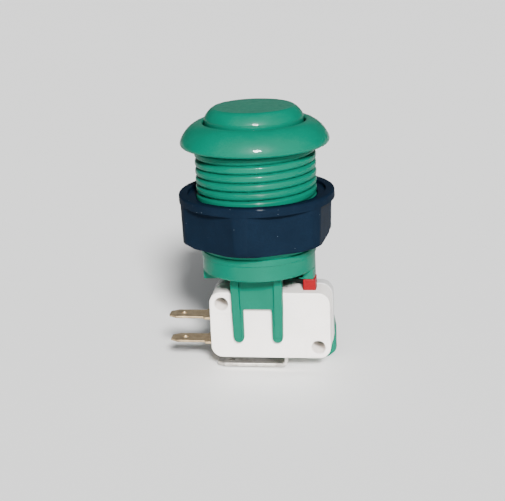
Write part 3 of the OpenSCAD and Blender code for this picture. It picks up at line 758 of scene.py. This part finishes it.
class BUTTON_OT_brackets(bpy.types.Operator):
    """Builds the front fork and the back plate that hold the switch"""

    bl_idname = "arcade_button.brackets"
    bl_label = "Fork and back plate"

    def execute(self, context):
        s, b = context.scene.button_switch, context.scene.button_barrel
        root = b.floor_top - b.floor_t + 0.4 * MM
        rib_bend = b.drum_low - 1 * MM
        self.fork(s, root, rib_bend)
        self.back_plate(s, root, rib_bend, b.room_d / 2)
        return {"FINISHED"}

    def fork(self, s, root, rib_bend):
        back = CASE_LOW.y - s.grip
        front = back - s.fork_t
        web, tip = CASE_HIGH.z - s.fork_web, CASE_HIGH.z - s.fork_tip
        out, inner = s.fork_w / 2, s.fork_gap / 2
        foot_out = out - s.fork_draft
        tip_r = (foot_out - inner) / 2
        # A shade under a half circle, so that a tip's two corners don't meet
        round_r = tip_r * 0.999
        web_r = 0.45 * MM
        right = [(out, root, 0), (out, web, 0), (foot_out, tip, round_r), (inner, tip, round_r)]
        left = [(-u, v, radius) for u, v, radius in right[::-1]]
        outline = filleted(right + [(inner, web, web_r), (-inner, web, web_r)] + left, 10)
        bm = bmesh.new()
        add_plate(bm, outline, front, back, (0.22 * MM, FINE_R), plane="xz")
        low = tip + tip_r
        rib = filleted([
            (front + SINK, low, 0), (front - s.rib_foot_h, low, EDGE_R),
            (front - s.rib_h, rib_bend, 0.6 * MM), (front - s.rib_h, root, 0), (front + SINK, root, 0),
        ], 6)
        for side in (-1, 1):
            ends = sorted((side * out, side * (out - s.rib_w)))
            made = bmesh.new()
            add_plate(made, rib, *ends, 0.18 * MM, plane="yz")
            for v in made.verts:
                # The rib leans in with its leg
                v.co.x -= side * s.fork_draft * max(0, web - v.co.z) / (web - tip)
            join(bm, made)
        make_piece("fork_shell", bm, "green_plastic", "barrel_body", "housing")

    def back_plate(self, s, root, rib_bend, room_r):
        front = COVER_HIGH.y + s.grip
        back = front + s.plate_t
        top, low = CASE_HIGH.z, CASE_LOW.z - s.plate_below
        left, right = CASE_LOW.x + 0.2 * MM, CASE_HIGH.x + s.plate_past
        neck = sqrt(room_r**2 - back**2) + 0.5 * MM
        neck_z, step_low, step_top = top - 0.6 * MM, top - 11.8 * MM, top - 7.3 * MM
        upper_hole = (CASE_LOW.x + s.hole_in, top - s.hole_in)
        lower_hole = (CASE_HIGH.x - s.hole_in, CASE_LOW.z + s.hole_in)
        slope_top, slope_foot = upper_hole[1] - 5 * MM, lower_hole[0] - 8 * MM
        corner_r, step_in = 1.5 * MM, 0.9 * MM
        outline = filleted([
            (-neck, root, 0), (-neck, neck_z, 0.6 * MM), (left, top - 1.6 * MM, 0.8 * MM),
            (left, slope_top, 1.2 * MM), (slope_foot, low, 2 * MM), (right - 2.1 * MM, low, corner_r),
            (right, low + 1.7 * MM, corner_r), (right, step_low, corner_r),
            (right - step_in, step_top, corner_r), (neck, neck_z, 1 * MM), (neck, root, 0),
        ], 6)
        bm = bmesh.new()
        add_plate(bm, outline, front, back, 0.25 * MM, plane="xz")
        for x, z in (upper_hole, lower_hole):
            add_plate(bm, circle(x, z, s.peg_d / 2), front - s.peg_l, back - 0.3 * MM, SOFT_R, plane="xz")
        proud, rib_t = back + 1.2 * MM, 1.4 * MM
        for x, foot in ((-6 * MM, slope_top), (4 * MM, low + 2 * MM)):
            rib = [(back - SINK, foot), (back, foot), (proud, rib_bend), (proud, root), (back - SINK, root)]
            add_plate(bm, rib, x, x + rib_t, 0.15 * MM, plane="yz")
        make_piece("back_plate_shell", bm, "green_plastic", "barrel_body", "housing")


class BUTTON_OT_panel_nut(bpy.types.Operator):
    """Builds the hexagonal nut with its round flange and the recess in its top"""

    bl_idname = "arcade_button.panel_nut"
    bl_label = "Panel nut"

    def execute(self, context):
        s = context.scene.button_nut
        bm = bmesh.new()
        add_spun(bm, lambda a: self.section(s, a), 480)
        make_piece("nut_shell", bm, "nut_plastic", "nut_body", "panel_nut", sharp=60)
        return {"FINISHED"}

    def side_radius(self, s, a, z):
        """Hexagon with turned corners, blended where a flat meets a corner."""
        foot, under = NUT_LOW.z, NUT_HIGH.z - s.flange_t
        sixth = pi / 3
        lean = s.draft * (under - z) / (under - foot)
        off = (a - s.turn + sixth / 2) % sixth - sixth / 2
        flat = (s.flats / 2 - lean) / cos(sixth / 2 - abs(off))
        corner = min(s.corner_d / 2 - 0.5 * lean, s.corner_d / 2 - s.chamfer + 2 * (z - foot))
        low = min(flat, corner)
        soft = 0.07 * MM
        return low - soft * log(exp((low - flat) / soft) + exp((low - corner) / soft))

    def section(self, s, a):
        """The nut's section at an angle: its foot, its side, the step to the flange, and the flange."""
        top, foot = NUT_HIGH.z, NUT_LOW.z
        under, recess_floor = top - s.flange_t, top - s.recess_h
        flange_r = min(NUT_HIGH.x, NUT_HIGH.y)
        bore, recess = s.bore_d / 2, s.recess_d / 2
        bevel_top = foot + s.chamfer / 2
        under_r = self.side_radius(s, a, under)
        lower = [
            (bore, foot + 2 * MM, 0), (bore, foot + 1 * MM, FINE_R), (bore + 1.6 * MM, foot, EDGE_R),
            (self.side_radius(s, a, foot), foot, 0.15 * MM),
            (self.side_radius(s, a, bevel_top), bevel_top, 0),
        ]
        rows = 12
        levels = [foot + (under - foot) * i / rows for i in range(2, rows)]
        side = [(self.side_radius(s, a, z), z) for z in levels]
        step = [
            (under_r, under - 0.8 * MM, 0), (under_r, under, EDGE_R),
            (flange_r, under + 0.12 * MM, 0.15 * MM), (flange_r, under + 0.6 * MM, 0),
        ]
        upper = [
            (flange_r, under + 0.7 * MM, 0), (flange_r, top, 0.45 * MM), (recess, top, EDGE_R),
            (recess, recess_floor, FINE_R), (bore, recess_floor, SOFT_R),
            (bore, recess_floor - 1 * MM, 0),
        ]
        lower, step = (filleted(corners, 3, closed=False) for corners in (lower, step))
        return lower + side + step[1:-1] + filleted(upper, 4, closed=False)


class BUTTON_OT_springs(bpy.types.Operator):
    """Winds the return spring and the switch's snap spring"""

    bl_idname = "arcade_button.springs"
    bl_label = "Springs"

    def execute(self, context):
        s = context.scene.button_plunger
        pin = ((PIN_LOW.x + PIN_HIGH.x) / 2, (PIN_LOW.y + PIN_HIGH.y) / 2)
        self.spring("return_spring", "plunger_press", (0, 0), s.spring_d, s.spring_wire, 8, 40, 12)
        self.spring("snap_spring", "actuator_travel", pin, s.snap_d, s.snap_wire, 5, 28, 10)
        return {"FINISHED"}

    def spring(self, node, joint, centre, mean_d, wire, turns, steps, sides):
        """A coil in place of a spring's node. The joint argument is not used."""
        low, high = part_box(node)
        bm = bmesh.new()
        add_coil(bm, centre, mean_d / 2, wire, low.z, high.z, turns, steps, sides)
        coil = make_piece(f"{node}_coil", bm, "spring_steel", "barrel_body", node)
        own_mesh(coil)


class BUTTON_OT_switch_shell(bpy.types.Operator):
    """Builds the switch's front case and back cover, hollow, with the fixing holes"""

    bl_idname = "arcade_button.switch_shell"
    bl_label = "Switch case and cover"

    def execute(self, context):
        s = context.scene.button_switch
        low, split, high = CASE_LOW.y, CASE_HIGH.y, COVER_HIGH.y
        past = 1 * MM
        bm = self.half(s, 0, (low, split), (low + s.wall, split + past), (SOFT_R, 0.12 * MM))
        self.corner_pads(bm, s)
        make_piece("case_shell", bm, "switch_plastic", "barrel_body", "switch_case", 50)
        room_span = (split - past, high - s.wall)
        bm = self.half(s, s.cover_lip, (split, high), room_span, (0.18 * MM, 0.35 * MM))
        # The cover's greyer finish paints shade on the back of the switch's top and side
        make_piece("cover_shell", bm, "switch_plastic", "barrel_body", "switch_cover", 50, "cover_plastic")
        return {"FINISHED"}

    def hole_centres(self, s):
        upper = (CASE_LOW.x + s.hole_in, CASE_HIGH.z - s.hole_in)
        return upper, (CASE_HIGH.x - s.hole_in, CASE_LOW.z + s.hole_in)

    def half(self, s, proud, span, room_span, edges):
        """The case or its cover, proud of the case's outline, with its room, holes and pin slot."""
        x0, x1 = CASE_LOW.x - proud, CASE_HIGH.x + proud
        outline = rounded_box(x0, CASE_LOW.z - proud, x1, CASE_HIGH.z + proud, s.corner_r + proud)
        holes = [circle(x, z, s.hole_d / 2) for x, z in self.hole_centres(s)]
        bm = bmesh.new()
        add_plate(bm, outline, *span, edges, holes, "xz", 4)
        for cutter in (self.room(s, *room_span), self.pin_slot()):
            bm = cut(bm, cutter)
        return bm

    def room(self, s, low, high):
        """The hollow inside the case, clear of the walls round the fixing holes."""
        x0, x1 = CASE_LOW.x + s.wall, CASE_HIGH.x - s.wall
        z0, z1 = CASE_LOW.z + s.wall, CASE_HIGH.z - s.wall
        boss = s.hole_in - s.wall + s.hole_d / 2 + s.boss_wall
        wide_r, tight_r = 1 * MM, 0.5 * MM
        corners = [
            (x0, z0, wide_r), (x1 - boss, z0, tight_r), (x1 - boss, z0 + boss, wide_r),
            (x1, z0 + boss, tight_r), (x1, z1, wide_r), (x0 + boss, z1, tight_r),
            (x0 + boss, z1 - boss, wide_r), (x0, z1 - boss, tight_r),
        ]
        bm = bmesh.new()
        add_plate(bm, filleted(corners, 3), low, high, FINE_R, plane="xz", steps=1)
        return bm

    def pin_slot(self):
        """The hole in the case's top, a little wider than the pin."""
        gap = 0.08 * MM
        x0, x1 = PIN_LOW.x + PIN_FLANGE - gap, PIN_HIGH.x - PIN_FLANGE + gap
        slot = rounded_box(x0, PIN_LOW.y - gap, x1, PIN_HIGH.y + gap, 0.05 * MM, 2)
        bm = bmesh.new()
        add_plate(bm, slot, CASE_HIGH.z - 3 * MM, CASE_HIGH.z + 1 * MM, 0.02 * MM, steps=1)
        return bm

    def corner_pads(self, bm, s):
        """Faintly raised corners round the case's fixing holes."""
        proud, sunk, edge = 0.2 * MM, 0.2 * MM, 0.35 * MM
        wide, long = 2.4 * MM, 2.4 * MM * 1.2
        x0, x1, z0, z1 = CASE_LOW.x + edge, CASE_HIGH.x - edge, CASE_LOW.z + edge, CASE_HIGH.z - edge
        far = s.corner_r - edge
        (ax, az), (bx, bz) = self.hole_centres(s)
        upper = [(x0, az - wide, 0), (ax + wide, az - wide, 0.7 * MM), (ax + wide, z1, 0), (x0, z1, far)]
        lower = [(bx - long, z0, 0), (x1, z0, far), (x1, bz + wide, 0), (bx - long, bz + wide, 0.9 * MM)]
        levels = (CASE_LOW.y - proud, CASE_LOW.y + sunk)
        for (x, z), corners in (((ax, az), upper), ((bx, bz), lower)):
            hole = circle(x, z, s.hole_d / 2 + 0.12 * MM)
            add_plate(bm, filleted(corners, 8), *levels, (0.05 * MM, 0.01 * MM), [hole], "xz", 2)


class BUTTON_OT_actuator(bpy.types.Operator):
    """Builds the red actuator pin with the flange that keeps it in the case"""

    bl_idname = "arcade_button.actuator"
    bl_label = "Actuator"

    def execute(self, context):
        x0, x1, y0, y1 = PIN_LOW.x, PIN_HIGH.x, PIN_LOW.y, PIN_HIGH.y
        low, high = PIN_LOW.z, PIN_HIGH.z
        pin = rounded_box(x0 + PIN_FLANGE, y0, x1 - PIN_FLANGE, y1, 0.25 * MM, 4)
        flange = rounded_box(x0, y0, x1, y1, EDGE_R, 3)
        bm = bmesh.new()
        add_plate(bm, pin, low, high, (0.05 * MM, SOFT_R), steps=4)
        add_plate(bm, flange, low, low + 1 * MM, 0.12 * MM)
        make_piece("actuator_pin", bm, "actuator_plastic", "actuator_body", "switch_actuator")
        return {"FINISHED"}


class BUTTON_OT_terminals(bpy.types.Operator):
    """Stamps the two side tabs and bends the common terminal"""

    bl_idname = "arcade_button.terminals"
    bl_label = "Terminals"

    def execute(self, context):
        s = context.scene.button_switch
        for node in ("normally_closed_terminal", "normally_open_terminal"):
            self.side_tab(s, node)
        self.common(s)
        return {"FINISHED"}

    def detent(self, s, tip):
        return circle(tip + s.detent_in, 0, s.detent_d / 2, 36)

    def side_tab(self, s, node):
        low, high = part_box(node)
        tip, half, wide, inner = low.x, s.tab_w / 2, s.shoulder_w / 2, s.blade_w / 2
        step, root = CASE_LOW.x - s.shoulder_l, CASE_LOW.x + 1.8 * MM
        upper = [
            (tip, half - s.tip_w, 0.25 * MM), (tip + s.tip_l, half, 0.6 * MM), (step, half, SOFT_R),
            (step, wide, 0.35 * MM), (root, wide, EDGE_R), (root, inner, EDGE_R), (high.x, inner, SOFT_R),
        ]
        outline = filleted(upper + [(u, -v, radius) for u, v, radius in upper[::-1]], 5)
        bm = bmesh.new()
        add_plate(bm, outline, low.z, high.z, (0.06 * MM, 0.12 * MM), [self.detent(s, tip)])
        make_piece(f"{node}_tab", bm, "tab_brass", "barrel_body", node)

    def common(self, s):
        """The tab under the switch, its bend up into the case, and the strip on to the blade's anchor."""
        t, r, half = s.common_t, s.bend_r, s.tab_w / 2
        tip, low = COMMON_LOW.x, COMMON_LOW.z
        out = CASE_LOW.x + s.riser_in
        riser_top = CASE_LOW.z + s.wall + 1.4 * MM
        bend = arc(out - r, low + r, r, -90, 0, 10) + [(out, riser_top), (out - t, riser_top)]
        bend += arc(out - r, low + r, r - t, 0, -90, 10)
        edge = 0.12 * MM
        bm = bmesh.new()
        add_plate(bm, bend, -half, half, edge, plane="xz")
        root = out - r + 0.2 * MM
        upper = [(root, half, 0), (tip + s.tip_l, half, 0.6 * MM), (tip, half - s.tip_w, SOFT_R)]
        outline = filleted([(u, -v, radius) for u, v, radius in upper[::-1]] + upper, 5)
        add_plate(bm, outline, low, low + t, edge, [self.detent(s, tip)])
        strip_low, strip_high = CASE_LOW.z + s.wall + 0.6 * MM, COMMON_HIGH.z - 0.25 * MM
        post, rise = COMMON_HIGH.x, CASE_HIGH.x - s.hole_in - 2.75 * MM
        path = [
            (out - t, strip_low), (rise, strip_low), (rise, strip_high - t), (post, strip_high - t),
            (post, COMMON_HIGH.z), (post - t, COMMON_HIGH.z), (post - t, strip_high),
            (rise - t, strip_high), (rise - t, strip_low + t), (out - t, strip_low + t),
        ]
        add_plate(bm, path, -s.blade_w / 2, s.blade_w / 2, 0.08 * MM, plane="xz")
        make_piece("common_strip", bm, "tinned_steel", "barrel_body", "common_terminal")


class BUTTON_OT_contacts(bpy.types.Operator):
    """Gives the blade and the contacts their metals"""

    bl_idname = "arcade_button.contacts"
    bl_label = "Blade and contacts"

    def execute(self, context):
        slots = {"contact_blade": "tab_brass"}
        for contact in ("moving_contact", "normally_closed_contact", "normally_open_contact"):
            slots[contact] = "contact_silver"
        for node, slot in slots.items():
            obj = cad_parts[node]
            obj.data.materials.clear()
            obj.data.materials.append(finish_of(slot))
        return {"FINISHED"}


class BUTTON_OT_stage(bpy.types.Operator):
    """Sets the pale floor, the studio light and the camera"""

    bl_idname = "arcade_button.stage"
    bl_label = "Stage"

    def execute(self, context):
        s = context.scene.button_stage
        self.floor(context)
        self.lights(context, s)
        self.camera(context, s)
        return {"FINISHED"}

    def floor(self, context):
        bm = bmesh.new()
        bmesh.ops.create_circle(bm, cap_ends=True, segments=96, radius=4)
        mesh = bpy.data.meshes.new("floor")
        bm.to_mesh(mesh)
        bm.free()
        floor = bpy.data.objects.new("floor", mesh)
        floor.location.z = CAD_BOX[0][2]
        context.scene.collection.objects.link(floor)
        g = Graph("floor")
        place = g.node("ShaderNodeTexCoord").outputs["Object"]
        tint = context.scene.button_finishes.floor
        patch, darker = 0.12, 0.97
        tone = g.blend(g.noise(place, patch), rgba(tint), rgba([darker * x for x in tint]))
        mesh.materials.append(g.finish({"Base Color": tone, "Roughness": 0.7}))

    def lights(self, context, s):
        for name in ("flash", "soft", "back"):
            sun = bpy.data.lights.new(name, "SUN")
            sun.energy, sun.angle = getattr(s, f"{name}_power"), getattr(s, f"{name}_size")
            toward = direction(getattr(s, f"{name}_azimuth"), getattr(s, f"{name}_elevation"))
            light = bpy.data.objects.new(name, sun)
            light.rotation_mode = "QUATERNION"
            light.rotation_quaternion = toward.to_track_quat("Z", "Y")
            # The flash is seen only in what is glossy, and the soft light only in what is dull
            light.visible_glossy, light.visible_diffuse = name != "soft", name != "flash"
            context.scene.collection.objects.link(light)
        world = bpy.data.worlds.new("room")
        world.use_nodes = True
        sky = world.node_tree.nodes["Background"]
        sky.inputs["Color"].default_value = (0.95, 0.98, 1, 1)
        sky.inputs["Strength"].default_value = s.room_light
        context.scene.world = world

    def camera(self, context, s):
        toward = direction(s.azimuth, s.elevation)
        right = (-toward).cross(Vector((0, 0, 1))).normalized()
        up = right.cross(-toward)
        across = right * cos(s.roll) + up * sin(s.roll)
        upward = -right * sin(s.roll) + up * cos(s.roll)
        lens = bpy.data.cameras.new("camera")
        lens.sensor_width, lens.lens = 36, s.focal
        lens.clip_start, lens.clip_end = 0.01, 20
        camera = bpy.data.objects.new("camera", lens)
        turn = Matrix((across, upward, toward)).transposed().to_4x4()
        place = Vector((s.aim_x, 0, s.aim_z)) + toward * s.distance
        camera.matrix_world = Matrix.Translation(place) @ turn
        context.scene.collection.objects.link(camera)
        context.scene.camera = camera


def direction(azimuth, elevation):
    """Unit vector from the button towards an azimuth and an elevation, where azimuth 0 is -Y."""
    flat = cos(elevation)
    return Vector((sin(azimuth) * flat, -cos(azimuth) * flat, sin(elevation)))


class BUTTON_PT_panel(bpy.types.Panel):
    """Lists the button's pieces and stage"""

    bl_idname = "BUTTON_PT_panel"
    bl_label = "Arcade push button"
    bl_space_type = "VIEW_3D"
    bl_region_type = "UI"
    bl_category = "Button"

    def draw(self, context):
        for operator in OPERATORS:
            self.layout.operator(operator.bl_idname)
        for name in GROUPS:
            group = getattr(context.scene, name)
            box = self.layout.box()
            box.label(text=type(group).__name__)
            for prop in type(group).__annotations__:
                box.prop(group, prop)


GROUPS = {
    "button_barrel": BarrelSizes,
    "button_plunger": PlungerSizes,
    "button_nut": NutSizes,
    "button_switch": SwitchSizes,
    "button_finishes": Finishes,
    "button_stage": StageSettings,
}
OPERATORS = (
    BUTTON_OT_plunger, BUTTON_OT_barrel, BUTTON_OT_brackets, BUTTON_OT_panel_nut, BUTTON_OT_springs,
    BUTTON_OT_switch_shell, BUTTON_OT_actuator, BUTTON_OT_terminals, BUTTON_OT_contacts, BUTTON_OT_stage,
)


def register():
    for cls in (*GROUPS.values(), *OPERATORS, BUTTON_PT_panel):
        bpy.utils.register_class(cls)
    for name, group in GROUPS.items():
        setattr(bpy.types.Scene, name, bpy.props.PointerProperty(type=group))


def unregister():
    for name in GROUPS:
        delattr(bpy.types.Scene, name)
    for cls in (BUTTON_PT_panel, *OPERATORS[::-1], *reversed(GROUPS.values())):
        bpy.utils.unregister_class(cls)


def main():
    register()
    for operator in OPERATORS:
        family, name = operator.bl_idname.split(".")
        getattr(getattr(bpy.ops, family), name)()


if __name__ == "__main__":
    main()
